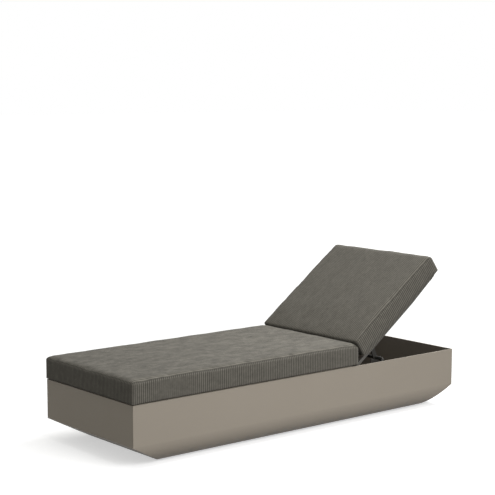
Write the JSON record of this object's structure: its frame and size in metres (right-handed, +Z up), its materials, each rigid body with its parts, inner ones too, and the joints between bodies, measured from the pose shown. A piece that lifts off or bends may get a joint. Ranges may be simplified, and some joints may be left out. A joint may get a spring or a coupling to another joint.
{
  "type": "spa relaxation lounger",
  "caption": "Flat relaxation lounger: sheet metal tub base with sloped ends, thick seat and back cushions, and a backrest that tilts on a folding prop.",
  "frame": {"origin": "on the floor under the middle of the base", "axes": "+X towards the head end, +Y to the sitter's right, +Z up"},
  "size_m": [2, 0.7, 0.7753],
  "materials": {
    "shell": "satin powder coat, taupe",
    "frames": "satin powder coat, taupe",
    "deck_panels": "satin powder coat, taupe",
    "dark_steel": "matt powder coat, near black",
    "prop_steel": "brushed",
    "fasteners": "satin",
    "nylon": "matt black",
    "floor_rubber": "matt black",
    "buffer_rubber": "matt black",
    "cushion_cover": "ribbed woven cover, grey"
  },
  "bodies": {
    "base": {"shell_skin": "shell", "foot_end_panel": "shell", "head_end_panel": "shell", "floor_strip_foot": "floor_rubber", "floor_strip_head": "floor_rubber", "seat_ledge_left": "frames", "seat_ledge_right": "frames", "back_ledge_left": "frames", "back_ledge_right": "frames", "foot_ledge": "frames", "bearer_foot": "frames", "bearer_middle": "frames", "hinge_beam": "frames", "seat_side_bar_left": "frames", "seat_side_bar_right": "frames", "seat_foot_rail": "frames", "seat_rear_rail": "frames", "seat_centre_bar": "frames", "seat_panel": "deck_panels", "seat_pads": "buffer_rubber", "hinge_bracket_left": "dark_steel", "hinge_bracket_right": "dark_steel", "hinge_pin_left": "fasteners", "hinge_pin_right": "fasteners", "hinge_nuts_and_washers": "fasteners", "bracket_screws": "fasteners", "rack_left": "dark_steel", "rack_right": "dark_steel", "rack_studs_and_nuts": "fasteners", "back_buffers": "buffer_rubber", "seat_cushion": "cushion_cover"},
    "backrest": {"back_side_bar_left": "frames", "back_side_bar_right": "frames", "back_bottom_rail": "frames", "back_middle_rail": "frames", "back_top_rail": "frames", "back_centre_bar_lower": "frames", "back_centre_bar_upper": "frames", "back_panel": "deck_panels", "hinge_bush_left": "nylon", "hinge_bush_right": "nylon", "prop_lug_left": "prop_steel", "prop_lug_right": "prop_steel", "prop_pin_left": "fasteners", "prop_pin_right": "fasteners", "back_cushion": "cushion_cover", "back_cover_band": "cushion_cover"},
    "prop": {"prop_arm_left": "prop_steel", "prop_arm_right": "prop_steel", "prop_crossbar": "prop_steel", "crossbar_plugs": "nylon", "crossbar_sleeve_left": "nylon", "crossbar_sleeve_right": "nylon"}
  },
  "joints": [
    {"name": "backrest_hinge", "type": "hinge", "parent": "base", "child": "backrest", "pos_m": [0.321, 0, 0.2775], "axis": [0, -1, 0], "range_deg": [-36, 0]},
    {"name": "prop_pivot", "type": "hinge", "parent": "backrest", "child": "prop", "pos_m": [0.54694, 0, 0.41941], "axis": [0, 1, 0], "range_deg": [-102.5, 0.5]}
  ],
  "couplings": [
    {"joint": "prop_pivot", "follows": "backrest_hinge", "ratio": 2.84}
  ]
}
